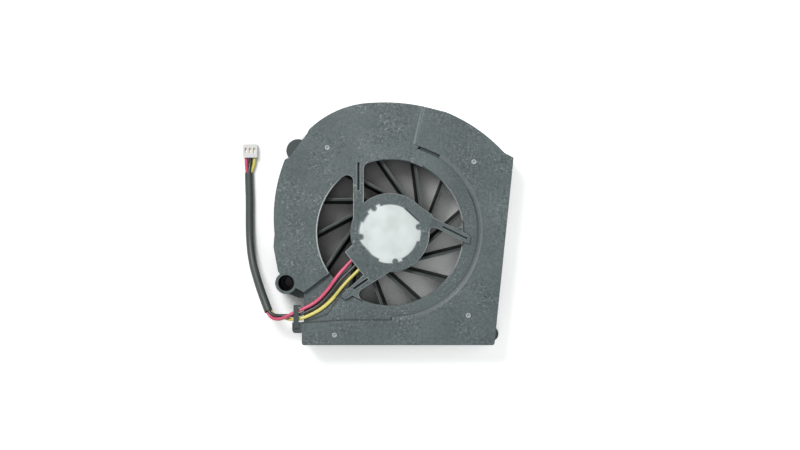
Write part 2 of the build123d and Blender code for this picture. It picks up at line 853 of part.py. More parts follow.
def wire_route(name):
    """Whole route of a wire from the circuit board to the back of the plug."""
    inside = [beside_sleeve(n, bundle_angles[name]) for n in range(len(sleeve_route))]
    way_x = plug_centre_x + plug_ways[name] * plug_pitch
    middle = plug_height / 2
    ends = [(way_x, plug_back_y - plug_lead, middle), (way_x, plug_back_y, middle)]
    return wire_starts[name] + inside + ends


def bend_radii(route):
    """The largest bend that each corner's two runs leave room for."""
    radii = []
    for a, b, c in zip(route, route[1:], route[2:]):
        arrive = Vector(b) - Vector(a)
        leave = Vector(c) - Vector(b)
        half_turn = math.radians(arrive.get_angle(leave)) / 2
        radii.append(bend_share * min(arrive.length, leave.length) / math.tan(half_turn))
    return radii


def cord(name, route, section):
    """Tube along straight runs joined by tangent arcs, with its size and bends printed."""
    radii = bend_radii(route)
    path = FilletPolyline(*route, radius=radii)
    start = Plane(origin=path @ 0, z_dir=path % 0)
    tube = sweep(start * section, path=path)
    print(name, "length", round(path.length, 2), "tightest bend", round(min(radii), 2))
    print(name, "volume", round(tube.volume, 3), "section x length", round(section.area * path.length, 3))
    return tube


def wire_sleeve():
    """Thin tube over the three wires."""
    return cord("wire_sleeve", sleeve_route, Circle(sleeve_radius) - Circle(sleeve_radius - sleeve_wall))


def solder_joints():
    """Solder on the board at the end of each wire."""
    joints = []
    for route in wire_starts.values():
        first, second = Vector(route[0]), Vector(route[1])
        back = (first - second).normalized()
        centre = first + back * (solder_length / 2)
        height = wire_hub_level + wire_radius - board_top
        angle = math.degrees(math.atan2(back.Y, back.X))
        block = Box(solder_length, wire_diameter, height)
        joints.append(Pos(centre.X, centre.Y, board_top + height / 2) * Rot(0, 0, angle) * block)
    return Compound(children=joints)


def plug_cavities():
    """Where each contact sits in the plug: X of the way, and the two ends along Y."""
    front = plug_back_y + plug_length
    return [(plug_centre_x + way * plug_pitch, front - contact_length, front) for way in plug_ways.values()]


def plug_housing():
    """Moulded three-way plug: contact ways open at the front, with a window over each."""
    half_width = plug_pitch + plug_side_wall
    xs = (plug_centre_x - half_width, plug_centre_x + half_width)
    shell = box_between(xs, (plug_back_y, plug_back_y + plug_length), 0, plug_height)
    shell = fillet(shell.edges().filter_by(Axis.Z), plug_corner_radius)
    middle = plug_height / 2
    for x, back, front in plug_cavities():
        sides = (x - contact_width / 2 - fit_gap, x + contact_width / 2 + fit_gap)
        shell -= box_between(sides, (back, front), middle - contact_height / 2, middle + contact_height)
        shell -= box_between(sides, (back, back + window_length), middle, plug_height)
    return shell


def plug_contacts():
    """Three formed metal contacts, each on the floor of its way."""
    contacts = []
    middle = plug_height / 2
    for x, back, front in plug_cavities():
        sides = (x - contact_width / 2, x + contact_width / 2)
        strip = box_between(sides, (back, front - fit_gap), middle - contact_height / 2, middle)
        strip += box_between(sides, (back, back + window_length / 2), middle, middle + contact_height)
        contacts.append(strip)
    return Compound(children=contacts)


pieces = {
    "volute_housing": volute_housing,
    "base_plate": base_plate,
    "cover_rivets": cover_rivets,
    "motor_base": motor_base,
    "bearing_tube": bearing_tube,
    "sleeve_bearing": sleeve_bearing,
    "thrust_pad": thrust_pad,
    "stator_core": stator_core,
    "lower_coil_former": lower_coil_former,
    "upper_coil_former": upper_coil_former,
    "stator_coils": stator_coils,
    "motor_board": motor_board,
    "driver_chip": driver_chip,
    "board_capacitors": board_capacitors,
    "solder_joints": solder_joints,
    "impeller": impeller,
    "rotor_yoke": rotor_yoke,
    "ring_magnet": ring_magnet,
    "rotor_bush": rotor_bush,
    "rotor_shaft": rotor_shaft,
    "shaft_clip": shaft_clip,
    "wire_sleeve": wire_sleeve,
    "plug_housing": plug_housing,
    "plug_contacts": plug_contacts,
}

os.makedirs("parts", exist_ok=True)
for piece_name, make in pieces.items():
    export_step(make(), f"parts/{piece_name}.step")
for wire_name in wire_starts:
    export_step(cord(wire_name, wire_route(wire_name), Circle(wire_radius)), f"parts/{wire_name}.step")
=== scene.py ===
import math

import bpy
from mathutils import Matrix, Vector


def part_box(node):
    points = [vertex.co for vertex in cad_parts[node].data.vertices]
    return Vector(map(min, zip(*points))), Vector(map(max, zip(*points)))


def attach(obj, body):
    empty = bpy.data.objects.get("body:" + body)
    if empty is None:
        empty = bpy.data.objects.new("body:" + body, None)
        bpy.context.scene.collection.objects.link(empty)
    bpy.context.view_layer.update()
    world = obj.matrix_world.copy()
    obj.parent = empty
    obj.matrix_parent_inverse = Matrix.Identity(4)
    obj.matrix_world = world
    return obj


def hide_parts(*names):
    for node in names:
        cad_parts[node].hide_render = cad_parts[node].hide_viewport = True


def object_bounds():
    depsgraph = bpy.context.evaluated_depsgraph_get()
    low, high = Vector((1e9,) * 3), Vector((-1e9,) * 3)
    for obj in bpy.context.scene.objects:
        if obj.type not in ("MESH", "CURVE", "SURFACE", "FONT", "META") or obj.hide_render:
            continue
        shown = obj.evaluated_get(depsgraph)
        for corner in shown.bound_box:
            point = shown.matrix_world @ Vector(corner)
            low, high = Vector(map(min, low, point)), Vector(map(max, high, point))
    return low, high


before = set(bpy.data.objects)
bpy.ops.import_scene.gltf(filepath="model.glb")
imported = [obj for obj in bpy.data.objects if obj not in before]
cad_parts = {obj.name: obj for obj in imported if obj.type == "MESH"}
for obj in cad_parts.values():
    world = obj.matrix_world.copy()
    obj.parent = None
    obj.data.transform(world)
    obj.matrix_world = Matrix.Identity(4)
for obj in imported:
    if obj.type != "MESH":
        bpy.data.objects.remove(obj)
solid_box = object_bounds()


# Base plate. A flat steel sheet that closes the underside of the casing and is seen between the blades.
# It is stamped from rolled stock, so its grain runs one way, and four rivets hold it to the casing.
# The half away from the outlet is painted darker as shade, the half towards it lighter as light from the
# outlet, and it is painted darker still where the casing closes over it.
class Shade:
    """A value or a colour in one material's node tree that can be used in plain arithmetic."""

    def __init__(self, tree, socket):
        self.tree = tree
        self.socket = socket

    def node(self, kind, settings, inputs, output=0):
        """Any node: its settings are set first, then its sockets take numbers, colours or links."""
        made = self.tree.nodes.new(kind)
        for name, value in settings.items():
            setattr(made, name, value)
        for name, value in inputs.items():
            if isinstance(value, Shade):
                self.tree.links.new(value.socket, made.inputs[name])
            else:
                made.inputs[name].default_value = value
        return Shade(self.tree, made.outputs[output])

    def maths(self, operation, first, second):
        return self.node("ShaderNodeMath", {"operation": operation}, {0: first, 1: second})

    def __add__(self, other):
        return self.maths("ADD", self, other)

    def __sub__(self, other):
        return self.maths("SUBTRACT", self, other)

    def __mul__(self, other):
        return self.maths("MULTIPLY", self, other)

    def __radd__(self, other):
        return self.maths("ADD", other, self)

    def __rsub__(self, other):
        return self.maths("SUBTRACT", other, self)

    def __rmul__(self, other):
        return self.maths("MULTIPLY", other, self)

    def larger(self, other):
        """The larger of two values."""
        return self.maths("MAXIMUM", self, other)

    def vector(self, operation, other, output=0):
        """These coordinates and a second vector in one vector operation."""
        return self.node("ShaderNodeVectorMath", {"operation": operation}, {0: self, 1: other}, output)

    def noise(self, size, detail=2.0, roughness=0.5):
        """Cloudy pattern on these coordinates; size is the width of one cloud in metres."""
        values = {"Vector": self, "Scale": 1 / size, "Detail": detail, "Roughness": roughness}
        return self.node("ShaderNodeTexNoise", {}, values)

    def between(self, low, high):
        """0 below low, 1 above high and a smooth rise from one to the other."""
        settings = {"interpolation_type": "SMOOTHSTEP"}
        return self.node("ShaderNodeMapRange", settings, {"Value": self, "From Min": low, "From Max": high})

    def blend(self, first, second):
        """Mixes two colours by this value."""
        first = first if isinstance(first, Shade) else (*first, 1)
        second = second if isinstance(second, Shade) else (*second, 1)
        return self.node("ShaderNodeMix", {"data_type": "RGBA"}, {0: self, 6: first, 7: second}, 2)


def surface(name, **constants):
    """A new material: returns it, a function that links its inputs, and the object's coordinates."""
    material = bpy.data.materials.new(name)
    material.use_nodes = True
    tree = material.node_tree
    shader = tree.nodes["Principled BSDF"]
    for socket, value in constants.items():
        shader.inputs[socket.replace("_", " ")].default_value = value

    def link(socket, shade):
        tree.links.new(shade.socket, shader.inputs[socket])

    place = Shade(tree, tree.nodes.new("ShaderNodeTexCoord").outputs["Object"])
    return material, link, place


def relief(height, depth, strength, edge=None):
    """Surface normal from a height pattern; depth is in metres, and edge rounds the corners."""
    values = {"Height": height, "Distance": depth, "Strength": strength}
    if edge:
        values["Normal"] = height.node("ShaderNodeBevel", {"samples": 6}, {"Radius": edge})
    return height.node("ShaderNodeBump", {}, values)


def dress(node, material):
    """Gives a solid of the frame its material."""
    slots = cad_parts[node].data.materials
    slots.clear()
    slots.append(material)


def axis_value(place, axis):
    """One coordinate as a value."""
    return place.node("ShaderNodeSeparateXYZ", {}, {0: place}, axis)


rolled_grain = (1, 14, 1)
painted_light_fade = 0.016
shade_reach = 0.016

base_sheet, link, place = surface("base_sheet", Metallic=0.7)
rolling = place.vector("MULTIPLY", rolled_grain).noise(0.0009, detail=4, roughness=0.6)
stains = place.noise(0.012, detail=3)
pattern = rolling * 0.5 + stains * 0.5
# Painted light: a shaded and a lit copy of the sheet's colour, blended from the side away from the outlet
# to the side towards it.
shaded_sheet = pattern.blend((0.13, 0.13, 0.127), (0.28, 0.284, 0.278))
lit_sheet = pattern.blend((0.54, 0.55, 0.54), (0.72, 0.735, 0.727))
towards_outlet = axis_value(place, "X") - axis_value(place, "Y")
sheet = towards_outlet.between(-painted_light_fade, painted_light_fade).blend(shaded_sheet, lit_sheet)
open_above = place.node("ShaderNodeAmbientOcclusion", {"samples": 12}, {"Distance": shade_reach}, "AO")
# Painted shade: the sheet turns nearly black where the casing closes over it.
link("Base Color", open_above.between(0.0, 0.28).blend((0.05, 0.05, 0.048), sheet))
link("Roughness", 0.34 + 0.16 * rolling)
link("Normal", relief(rolling, depth=0.00001, strength=0.5))
dress("base_plate", base_sheet)


# Motor inside the hub. Laminated core, wound teeth, two insulators, the bearing in its brass tube and a
# round circuit board with its parts. Most of it is hidden by the hub plate and the impeller's cup.
def grained(name, dark, light, grain, metallic=0.0, roughness=0.5):
    """Plain finish for small pieces: two close colours, an uneven gloss and a fine grain."""
    material, link, place = surface(name, Metallic=metallic)
    pattern = place.noise(grain, detail=3, roughness=0.6)
    link("Base Color", pattern.blend(dark, light))
    link("Roughness", roughness - 0.1 + 0.2 * pattern)
    link("Normal", relief(pattern, depth=0.00001, strength=0.4))
    return material


def striped(name, dark, light, pitch, metallic, roughness):
    """Finish of stacked sheets or wound wire: level lines, one for each sheet or turn."""
    material, link, place = surface(name, Metallic=metallic)
    wave_length = 0.314  # of a wave texture whose scale is 1
    wave = {"wave_type": "BANDS", "bands_direction": "Z"}
    values = {"Vector": place, "Scale": wave_length / pitch, "Distortion": 0.4}
    lines = place.node("ShaderNodeTexWave", wave, values, 1)
    wear = place.noise(pitch * 3)
    link("Base Color", (lines * 0.7 + wear * 0.3).blend(dark, light))
    link("Roughness", roughness + 0.15 * wear)
    link("Normal", relief(lines, depth=pitch / 6, strength=0.5))
    return material


white_plastic = grained(
    "white_plastic", (0.78, 0.78, 0.75), (0.86, 0.86, 0.83), grain=0.0006, roughness=0.4
)
turned_brass = grained(
    "turned_brass", (0.60, 0.42, 0.16), (0.76, 0.58, 0.28), grain=0.0004, metallic=1.0, roughness=0.3
)
bronze = grained(
    "sintered_bronze", (0.36, 0.25, 0.13), (0.56, 0.42, 0.24), grain=0.0002, metallic=0.9, roughness=0.5
)
core_steel = striped(
    "core_laminations", (0.28, 0.28, 0.30), (0.50, 0.50, 0.52), pitch=0.00035, metallic=0.9, roughness=0.35
)
former = grained("former_plastic", (0.05, 0.05, 0.05), (0.09, 0.09, 0.09), grain=0.0005)
copper = striped(
    "enamelled_copper", (0.40, 0.14, 0.05), (0.78, 0.36, 0.16), pitch=0.00018, metallic=0.85, roughness=0.25
)
laminate = grained(
    "board_laminate", (0.03, 0.15, 0.07), (0.06, 0.24, 0.11), grain=0.0008, roughness=0.35
)
chip = grained(
    "chip_plastic", (0.02, 0.02, 0.02), (0.045, 0.045, 0.045), grain=0.0002, roughness=0.55
)
ceramic = grained("capacitor_ceramic", (0.36, 0.26, 0.17), (0.52, 0.40, 0.28), grain=0.0003)
solder = grained(
    "solder", (0.58, 0.59, 0.60), (0.76, 0.77, 0.78), grain=0.0004, metallic=1.0, roughness=0.3
)

motor_finishes = {
    "bearing_tube": turned_brass,
    "sleeve_bearing": bronze,
    "thrust_pad": white_plastic,
    "stator_core": core_steel,
    "lower_coil_former": former,
    "upper_coil_former": former,
    "stator_coils": copper,
    "motor_board": laminate,
    "driver_chip": chip,
    "board_capacitors": ceramic,
    "solder_joints": solder,
}
for node, finish in motor_finishes.items():
    dress(node, finish)


# Rotor core. A drawn steel cup with its ring magnet, a brass bush, the ground shaft and its split washer.
# These sit inside the impeller and turn with it on the sleeve bearing.
drawn_steel = grained(
    "drawn_steel", (0.38, 0.38, 0.39), (0.54, 0.54, 0.55), grain=0.0012, metallic=1.0, roughness=0.38
)
ferrite = grained(
    "bonded_ferrite", (0.06, 0.06, 0.065), (0.13, 0.13, 0.14), grain=0.0002, metallic=0.2, roughness=0.6
)
ground_steel = grained(
    "ground_steel", (0.62, 0.62, 0.64), (0.78, 0.78, 0.80), grain=0.0003, metallic=1.0, roughness=0.2
)

rotor_finishes = {
    "rotor_yoke": drawn_steel,
    "ring_magnet": ferrite,
    "rotor_bush": turned_brass,
    "rotor_shaft": ground_steel,
    "shaft_clip": white_plastic,
}
for node, finish in rotor_finishes.items():
    dress(node, finish)


# Impeller. A moulded cup with thirteen straight blades that trail behind the direction of turning and lean
# a little over their height. One moulding in dark plastic, pressed on the rotor's bush, with rounded edges
# along every blade.
def new_tree(name, sizes):
    """An empty geometry tree with named size inputs; returns it with its group input's sockets."""
    tree = bpy.data.node_groups.new(name, "GeometryNodeTree")
    tree.interface.new_socket("Geometry", in_out="INPUT", socket_type="NodeSocketGeometry")
    for size in sizes:
        kind = "NodeSocketInt" if size.endswith("count") else "NodeSocketFloat"
        tree.interface.new_socket(size, in_out="INPUT", socket_type=kind)
    tree.interface.new_socket("Geometry", in_out="OUTPUT", socket_type="NodeSocketGeometry")
    return tree, tree.nodes.new("NodeGroupInput").outputs


def step(tree, kind, inputs, settings=None, output=0):
    """One geometry node: settings first, then values or links by socket name or place."""
    made = tree.nodes.new(kind)
    for name, value in (settings or {}).items():
        setattr(made, name, value)
    for name, value in inputs.items():
        for single in value if isinstance(value, list) else [value]:
            if isinstance(single, bpy.types.NodeSocket):
                tree.links.new(single, made.inputs[name])
            else:
                made.inputs[name].default_value = single
    return made.outputs[output]


def maths_node(tree, operation, first, second):
    """One Math node in a geometry tree."""
    return step(tree, "ShaderNodeMath", {0: first, 1: second}, {"operation": operation})


def close_tree(tree, shape, material):
    """Ends a tree: real geometry instead of copies, one material, and the group's output."""
    real = step(tree, "GeometryNodeRealizeInstances", {"Geometry": shape})
    painted = step(tree, "GeometryNodeSetMaterial", {"Geometry": real, "Material": material})
    tree.links.new(painted, tree.nodes.new("NodeGroupOutput").inputs[0])


def grown(name, tree, sizes, points=()):
    """Runs a tree on an object made of the given points and returns a plain mesh object."""
    mesh = bpy.data.meshes.new(name)
    mesh.from_pydata(points, [], [])
    maker = bpy.data.objects.new(name, mesh)
    bpy.context.scene.collection.objects.link(maker)
    modifier = maker.modifiers.new(name, "NODES")
    modifier.node_group = tree
    for socket in tree.interface.items_tree:
        if socket.in_out == "INPUT" and socket.name in sizes:
            modifier[socket.identifier] = sizes[socket.name]
    seen = maker.evaluated_get(bpy.context.evaluated_depsgraph_get())
    finished = bpy.data.meshes.new_from_object(seen)
    maker.modifiers.remove(modifier)
    maker.data = finished
    return maker


def circle(tree, radius, corners):
    """Level circle about the vertical axis, to sweep a section along."""
    return step(tree, "GeometryNodeCurvePrimitiveCircle", {"Radius": radius, "Resolution": corners})


def rounded_section(tree, width, height, corner):
    """Rectangle with rounded corners, to be swept along a line."""
    flat = step(tree, "GeometryNodeCurvePrimitiveQuadrilateral", {"Width": width, "Height": height})
    soft = {"Curve": flat, "Radius": corner, "Count": 3}
    return step(tree, "GeometryNodeFilletCurve", soft, {"mode": "POLY"})


def sweep(tree, path, section):
    """Closed body made by moving a section along a path."""
    swept = {"Curve": path, "Profile Curve": section, "Fill Caps": True}
    return step(tree, "GeometryNodeCurveToMesh", swept)


def moved_up(tree, shape, height):
    """The same shape raised by a height."""
    lift = step(tree, "ShaderNodeCombineXYZ", {"Z": height})
    return step(tree, "GeometryNodeTransform", {"Geometry": shape, "Translation": lift})


impeller_plastic, link, place = surface("impeller_plastic", Specular_IOR_Level=0.2)
mottle = place.noise(0.0005, detail=4, roughness=0.65)
dust = place.noise(0.004, detail=3).between(0.52, 0.75)
facing = place.node("ShaderNodeTexCoord", {}, {}, "Normal")
upward = axis_value(facing, "Z")
forward = axis_value(place, "Y") * axis_value(facing, "X")
backward = axis_value(place, "X") * axis_value(facing, "Y")
dusty = (mottle * 0.6 + dust * 0.4).blend((0.050, 0.060, 0.058), (0.125, 0.146, 0.142))
# Painted shade: faces that do not face up, such as the blades' sides, are nearly black.
colour = upward.between(0.3, 0.95).blend((0.012, 0.014, 0.014), dusty)
# Painted highlight: one upper edge of each blade, on its clockwise side seen from above, is pale.
painted_edge_highlight = (forward - backward).between(0.002, 0.006) * upward.between(0.2, 0.4)
link("Base Color", (painted_edge_highlight * 0.6).blend(colour, (0.34, 0.37, 0.36)))
link("Roughness", 0.5 + 0.2 * mottle)
link("Normal", relief(mottle, depth=0.00002, strength=0.4))

wheel_low, wheel_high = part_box("impeller")
cup_radius = 0.0106
cup_wall = 0.0008
cup_corners = 96
blade_count = 13
blade_thickness = 0.0009
blade_offset = 0.00967
blade_tip = 0.027
blade_edge = 0.00022
blade_foot = 0.0002
blade_rise = 0.0003
blade_lean = 0.0008
first_blade = math.radians(235.5)
bush_hole = 0.00201

blade_inputs = ["blade count", "blade root", "blade tip", "blade height", "blade top", "blade lean"]
tree, size = new_tree("impeller_wheel", blade_inputs)
start = step(tree, "ShaderNodeCombineXYZ", {"X": size["blade root"], "Y": -blade_offset})
end = step(tree, "ShaderNodeCombineXYZ", {"X": size["blade tip"], "Y": -blade_offset})
line = step(tree, "GeometryNodeCurvePrimitiveLine", {"Start": start, "End": end})
blade = sweep(tree, line, rounded_section(tree, blade_thickness, size["blade height"], blade_edge))
position = step(tree, "GeometryNodeInputPosition", {})
level = step(tree, "ShaderNodeSeparateXYZ", {"Vector": position}, output=2)
share = maths_node(tree, "DIVIDE", level, size["blade height"])
below_top = maths_node(tree, "SUBTRACT", 0.5, share)
shift = maths_node(tree, "MULTIPLY", below_top, size["blade lean"])
half_down = maths_node(tree, "MULTIPLY", size["blade height"], -0.5)
lift = maths_node(tree, "ADD", size["blade top"], half_down)
blade_place = step(tree, "ShaderNodeCombineXYZ", {"Y": shift, "Z": lift})
blade = step(tree, "GeometryNodeSetPosition", {"Geometry": blade, "Offset": blade_place})
axis_points = step(tree, "GeometryNodePoints", {"Count": size["blade count"]})
number = step(tree, "GeometryNodeInputIndex", {})
turned = maths_node(tree, "MULTIPLY", number, -2 * math.pi / blade_count)
angle = maths_node(tree, "ADD", turned, first_blade)
spin = step(tree, "ShaderNodeCombineXYZ", {"Z": angle})
copies = {"Points": axis_points, "Instance": blade, "Rotation": spin}
blades = step(tree, "GeometryNodeInstanceOnPoints", copies)

cup_height = wheel_high.z - wheel_low.z - blade_rise
wall_line = circle(tree, cup_radius - cup_wall / 2, cup_corners)
wall_section = rounded_section(tree, cup_wall, cup_height, blade_edge)
wall = moved_up(tree, sweep(tree, wall_line, wall_section), wheel_low.z + cup_height / 2)
floor_width = cup_radius - cup_wall / 2 - bush_hole
floor_line = circle(tree, bush_hole + floor_width / 2, cup_corners)
floor_section = rounded_section(tree, floor_width, cup_wall, blade_edge)
cup_floor = moved_up(tree, sweep(tree, floor_line, floor_section), wheel_low.z + cup_wall / 2)
wheel = step(tree, "GeometryNodeJoinGeometry", {"Geometry": [blades, wall, cup_floor]})
close_tree(tree, wheel, impeller_plastic)

blade_bottom = wheel_low.z + blade_foot
blade_sizes = {
    "blade count": blade_count,
    "blade root": math.sqrt(cup_radius**2 - blade_offset**2),
    "blade tip": math.sqrt(blade_tip**2 - (blade_offset + blade_thickness / 2) ** 2),
    "blade height": wheel_high.z - blade_bottom,
    "blade top": wheel_high.z,
    "blade lean": blade_lean,
}
impeller = grown("impeller_wheel", tree, blade_sizes)
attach(impeller, "rotor")
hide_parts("impeller")


# Volute housing. One moulding in slate-coloured plastic with a fine spark-eroded texture: scroll wall, top
# with its inlet, hub plate on three struts, screw boss, two lugs and the hook that holds the wires.
def corner_mask(place, reach):
    """0 on a flat face, rising to 1 on a sharp corner of the solid."""
    rounded = place.node("ShaderNodeBevel", {"samples": 8}, {"Radius": reach})
    flat = place.node("ShaderNodeNewGeometry", {}, {}, "Normal")
    return (1 - rounded.vector("DOT_PRODUCT", flat, "Value")).between(0.015, 0.18)


def hollow(place, reach):
    """0 in the open, rising to 1 in a groove or an inner corner."""
    settings = {"samples": 8, "only_local": True}
    return 1 - place.node("ShaderNodeAmbientOcclusion", settings, {"Distance": reach}, "AO")


def distance_from(place, x=0.0, y=0.0):
    """Distance from the vertical line at x and y, in metres."""
    level = place.vector("SUBTRACT", (x, y, 0)).vector("MULTIPLY", (1, 1, 0))
    return level.node("ShaderNodeVectorMath", {"operation": "LENGTH"}, {0: level}, "Value")


def near_line(place, x, y, radius):
    """1 within a radius of the vertical line at x and y, 0 beyond it."""
    fade = 0.00005
    return 1 - distance_from(place, x, y).between(radius, radius + fade)


def beyond(place, angle, distance):
    """Distance past the upright plane that faces an angle, in degrees, at a distance from the axis."""
    turn = math.radians(angle)
    return place.vector("DOT_PRODUCT", (math.cos(turn), math.sin(turn), 0), "Value") - distance


casing_plastic, link, place = surface("casing_plastic")
grain = place.noise(0.0008, detail=4, roughness=0.75)
fine = place.noise(0.0003, detail=2, roughness=0.6)
cloud = place.noise(0.014, detail=3)
patches = place.noise(0.010, detail=2).between(0.38, 0.62)
flecks = place.noise(0.0007, detail=2, roughness=0.6).between(0.60, 0.69)
contrast = 0.55 + 0.75 * patches
tone = 0.5 + contrast * (grain * 0.7 + fine * 0.3 - 0.5) + 0.25 * (cloud - 0.5)
colour = tone.between(0.30, 0.70).blend((0.040, 0.058, 0.060), (0.158, 0.194, 0.197))
colour = (flecks * patches * 0.9).blend(colour, (0.33, 0.36, 0.36))

# The slopes of the top have painted highlights along their edges, and the ring about the inlet has painted
# shade at its foot. Each pair is where a part of the pattern starts and where it is full, in metres along
# an axis or from a centre.
ring_centre = (0.00058, 0.00073)
ring_foot_edge = (0.0250, 0.0254)
ring_top_edge = (0.0255, 0.0260)
ring_upper_edge = (0.0248, 0.0254)
ramp_angle = -11.906
ramp_middle = 0.002005
ramp_line = (0.00018, 0.00032)
across, along, height = (axis_value(place, axis) for axis in "XYZ")
facing_up = axis_value(place.node("ShaderNodeNewGeometry", {}, {}, "Normal"), "Z")
slopes = (1 - facing_up).between(0.02, 0.05) * facing_up.between(0.7, 0.8)
from_ring = distance_from(place, *ring_centre)
on_ramp = along.between(0.0235, 0.0245) * (1 - across.between(0.0115, 0.0125))
off_middle = beyond(place, ramp_angle, ramp_middle)
ramp_lines = off_middle.maths("ABSOLUTE", off_middle, 0).between(*ramp_line)
ring_line = across.between(0.011, 0.020) * from_ring.between(*ring_top_edge)
upper_right = along.between(0.008, 0.014) * across.between(0.011, 0.013)
upper_line = upper_right * from_ring.between(*ring_upper_edge)
# Painted highlights on the edges of the ring and the ramp.
painted_highlights = ring_line.larger(upper_line) + on_ramp * ramp_lines
colour = (slopes * painted_highlights * 0.5).blend(colour, (0.26, 0.29, 0.29))
# Painted shade at the ring's foot.
ring_foot_shade = (1 - from_ring.between(*ring_foot_edge)) * (1 - along.between(0.010, 0.015))
colour = (slopes * ring_foot_shade * 0.85).blend(colour, (0.03, 0.04, 0.04))

# Corners about the inlet get painted highlights, most on the left of the hub plate; other corners get
# painted shade.
inlet_edge = (0.0220, 0.0235)
hub_edge = (0.0150, 0.0160)
edge_reach = 0.0006
crease_reach = 0.0010
from_axis = distance_from(place)
about_inlet = 1 - from_axis.between(*inlet_edge)
creases = hollow(place, crease_reach)
ramp_foot = across.between(0.003, 0.005) * along.between(0.016, 0.018)
edges = corner_mask(place, edge_reach) * (1 - creases.between(0.1, 0.35)) * (1 - ramp_foot)
# Painted highlights on corners and the chamfer about the inlet.
colour = (edges * about_inlet * 0.75).blend(colour, (0.36, 0.39, 0.39))
hub_left = (1 - from_axis.between(*hub_edge)) * (1 - across.between(-0.006, -0.002))
colour = (edges * hub_left * 0.9).blend(colour, (0.56, 0.60, 0.60))
chamfer = facing_up.between(0.25, 0.45) * (1 - facing_up.between(0.88, 0.96))
sides = along.between(-0.018, -0.006) * (1 - along.between(0.012, 0.017))
off_hub = 0.45 + 0.4 * from_axis.between(0.014, 0.016)
colour = (chamfer * about_inlet * sides * off_hub).blend(colour, (0.48, 0.51, 0.51))
# Painted shade: a dark line on corners away from the inlet.
colour = (edges * (1 - about_inlet) * 0.6).blend(colour, (0.035, 0.045, 0.045))

# The lugs and the hook are smooth and darker. Creases and the hole in the boss are painted nearly black as
# shade, and a painted dark line of shadow stands for the gap beside the disc's flat side. Each lug and the
# hole have a place and a radius.
upper_lug = (-0.0274, 0.02426, 0.00342)
lower_lug = (0.0299, -0.03006, 0.00222)
boss_hole = (-0.03016, -0.01465, 0.00235)
lug_top = (0.0031, 0.0033)
hook_right = (-0.0262, -0.0254)
hook_top = (-0.0205, -0.0195)
disc_flat_angle = 47.082
disc_flat_edge = 0.00795
lug_level = 1 - height.between(*lug_top)
on_lugs = near_line(place, *upper_lug).larger(near_line(place, *lower_lug)) * lug_level
on_hook = (1 - across.between(*hook_right)) * (1 - along.between(*hook_top))
colour = on_lugs.larger(on_hook).blend(colour, (0.048, 0.060, 0.060))
# Painted shade: creases turn nearly black.
colour = (creases.between(0.12, 0.5) * 0.8).blend(colour, (0.012, 0.016, 0.016))
# Painted shadow: a dark line along the disc's flat side stands for the gap there.
past_flat = beyond(place, disc_flat_angle, disc_flat_edge)
flat_gap_shadow = past_flat.between(-0.00005, 0.0) * (1 - past_flat.between(0.00030, 0.00040))
along_flat = beyond(place, disc_flat_angle - 90, 0)
flat_length = along_flat.between(-0.0018, -0.0012) * (1 - along_flat.between(0.0034, 0.0040))
colour = (flat_gap_shadow * flat_length * 0.9).blend(colour, (0.008, 0.010, 0.010))
# Painted shade: the hole in the boss is nearly black.
link("Base Color", (near_line(place, *boss_hole) * 0.95).blend(colour, (0.004, 0.005, 0.005)))
link("Roughness", 0.42 + 0.24 * grain)
link("Normal", relief(grain * 0.6 + fine * 0.4, depth=0.00006, strength=0.5, edge=0.00012))
dress("volute_housing", casing_plastic)


# Motor base. A stamped disc of bare silver metal with a notched edge that closes the hub plate.
# Four moulded pegs of the hub plate stand in its notches, and it carries the bearing tube below.
disc_metal, link, place = surface("disc_metal", Metallic=0.5)
grain = place.noise(0.00035, detail=4, roughness=0.6)
bloom = place.noise(0.006, detail=2).between(0.3, 0.7)
link("Base Color", (grain * 0.35 + bloom * 0.65).blend((0.51, 0.55, 0.54), (0.67, 0.72, 0.71)))
link("Roughness", 0.42 + 0.16 * grain)
link("Normal", relief(grain, depth=0.00001, strength=0.3))
dress("motor_base", disc_metal)


# Cover rivets. Four soft metal rivets hold the base plate to the casing: a flat head below the plate and a
# dimpled end at the top face, seen as a pale ring.
def cylinder(tree, radius, depth, corners):
    """Upright cylinder with its middle at the origin."""
    return step(tree, "GeometryNodeMeshCylinder", {"Vertices": corners, "Radius": radius, "Depth": depth})


rivet_metal = grained(
    "rivet_metal", (0.34, 0.37, 0.37), (0.52, 0.55, 0.55), grain=0.0003, metallic=0.4, roughness=0.65
)
rivet_places = [(-0.01824, 0.02468), (0.02436, 0.02056), (0.02268, -0.02407), (-0.01618, -0.02978)]
rivet_radius = 0.00078
rivet_bore = 0.00034
rivet_roll = 0.0002
rivet_dimple = 0.0004
rivet_head = 0.00135
rivet_head_height = 0.0003
rivet_corners = 40
low_top = 0.01266
high_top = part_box("cover_rivets")[1].z

tree, size = new_tree("rivet_set", ["rivet length"])
wall_width = rivet_radius - rivet_bore
wall_line = circle(tree, rivet_bore + wall_width / 2, rivet_corners)
wall = sweep(tree, wall_line, rounded_section(tree, wall_width, size["rivet length"], rivet_roll))
hung = moved_up(tree, wall, maths_node(tree, "MULTIPLY", size["rivet length"], -0.5))
core = cylinder(tree, rivet_bore + rivet_roll, low_top - rivet_dimple - rivet_roll, rivet_corners)
core = moved_up(tree, core, -low_top / 2 - rivet_dimple / 2)
head = cylinder(tree, rivet_head, rivet_head_height, rivet_corners)
head = moved_up(tree, head, rivet_head_height / 2 - low_top)
rivet = step(tree, "GeometryNodeJoinGeometry", {"Geometry": [hung, core, head]})
position = step(tree, "GeometryNodeInputPosition", {})
top = step(tree, "ShaderNodeSeparateXYZ", {"Vector": position}, output=2)
stretch = maths_node(tree, "DIVIDE", top, size["rivet length"])
scale = step(tree, "ShaderNodeCombineXYZ", {"X": 1.0, "Y": 1.0, "Z": stretch})
copies = {"Points": size["Geometry"], "Instance": rivet, "Scale": scale}
close_tree(tree, step(tree, "GeometryNodeInstanceOnPoints", copies), rivet_metal)

rivet_tops = [(x, y, high_top if x < 0 < y else low_top) for x, y in rivet_places]
rivets = grown("rivet_set", tree, {"rivet length": low_top}, rivet_tops)
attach(rivets, "casing")
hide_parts("cover_rivets")


